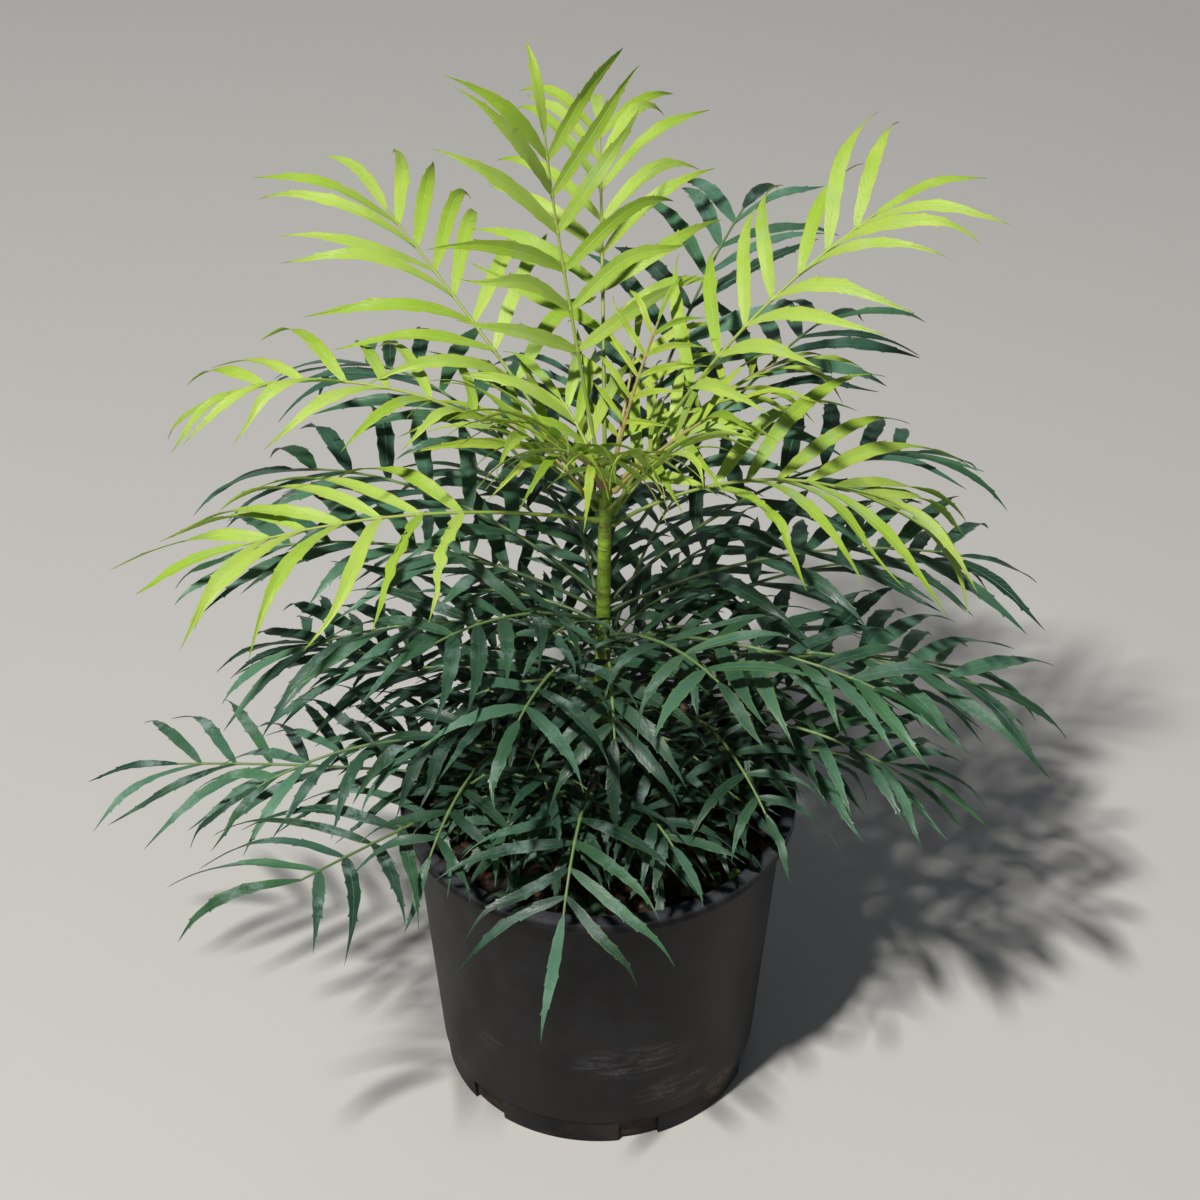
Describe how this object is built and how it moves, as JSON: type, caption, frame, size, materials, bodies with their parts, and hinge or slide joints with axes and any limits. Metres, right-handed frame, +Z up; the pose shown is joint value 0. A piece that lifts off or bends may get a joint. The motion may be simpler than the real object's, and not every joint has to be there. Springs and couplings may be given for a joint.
{
  "type": "potted mahonia",
  "caption": "Narrow-leaved mahonia in a round black nursery pot: upright canes with whorls of pinnate fronds, lime green at the top and dark blue-green below.",
  "frame": {"origin": "the middle of the pot's flat underside, on the surface it stands on", "axes": "+Z up along the pot's axis, -Y the plant's front, +X its right seen from the front"},
  "size_m": [0.6969, 0.5534, 0.756],
  "materials": {
    "pot_plastic": "satin black, dusty and scuffed",
    "soil": "damp bark potting mix",
    "young_cane": "smooth green bark with ring scars",
    "old_cane": "rough brown bark",
    "lime_frond": "soft satin",
    "new_frond": "soft satin",
    "dark_frond": "waxy satin"
  },
  "bodies": {
    "root": {"pot": "pot_plastic", "soil": "soil", "cane_main": "young_cane", "cane_left": "old_cane", "cane_right": "old_cane", "cane_front": "old_cane", "cane_back": "old_cane", "frond_lime_top": "lime_frond", "frond_lime_back": "lime_frond", "frond_lime_upper_left": "lime_frond", "frond_lime_upper_right": "lime_frond", "frond_lime_right": "lime_frond", "frond_lime_left": "lime_frond", "frond_lime_back_left": "lime_frond", "frond_new_right": "new_frond", "frond_new_front": "new_frond", "frond_new_upright": "new_frond", "frond_dark_top_right": "dark_frond", "frond_dark_right_1": "dark_frond", "frond_dark_right_2": "dark_frond", "frond_dark_right_3": "dark_frond", "frond_dark_right_4": "dark_frond", "frond_dark_right_5": "dark_frond", "frond_dark_right_6": "dark_frond", "frond_dark_right_7": "dark_frond", "frond_dark_left_1": "dark_frond", "frond_dark_left_2": "dark_frond", "frond_dark_left_3": "dark_frond", "frond_dark_left_4": "dark_frond", "frond_dark_left_5": "dark_frond", "frond_dark_left_6": "dark_frond", "frond_dark_front": "dark_frond", "frond_dark_front_left": "dark_frond", "frond_dark_front_left_2": "dark_frond", "frond_dark_front_right": "dark_frond", "frond_dark_back_1": "dark_frond", "frond_dark_back_2": "dark_frond", "frond_dark_back_3": "dark_frond", "frond_low_left_1": "dark_frond", "frond_low_left_2": "dark_frond", "frond_low_left_3": "dark_frond", "frond_low_left_4": "dark_frond", "frond_low_left_5": "dark_frond", "frond_low_left_6": "dark_frond", "frond_low_right_1": "dark_frond", "frond_low_right_2": "dark_frond", "frond_low_right_3": "dark_frond", "frond_low_right_4": "dark_frond", "frond_low_right_5": "dark_frond", "frond_low_right_6": "dark_frond", "frond_low_front_1": "dark_frond", "frond_low_front_2": "dark_frond", "frond_low_front_3": "dark_frond", "frond_low_front_4": "dark_frond", "frond_low_front_5": "dark_frond", "frond_low_back_1": "dark_frond", "frond_low_back_2": "dark_frond", "frond_low_back_3": "dark_frond", "frond_low_back_4": "dark_frond", "frond_low_back_5": "dark_frond"}
  },
  "joints": []
}
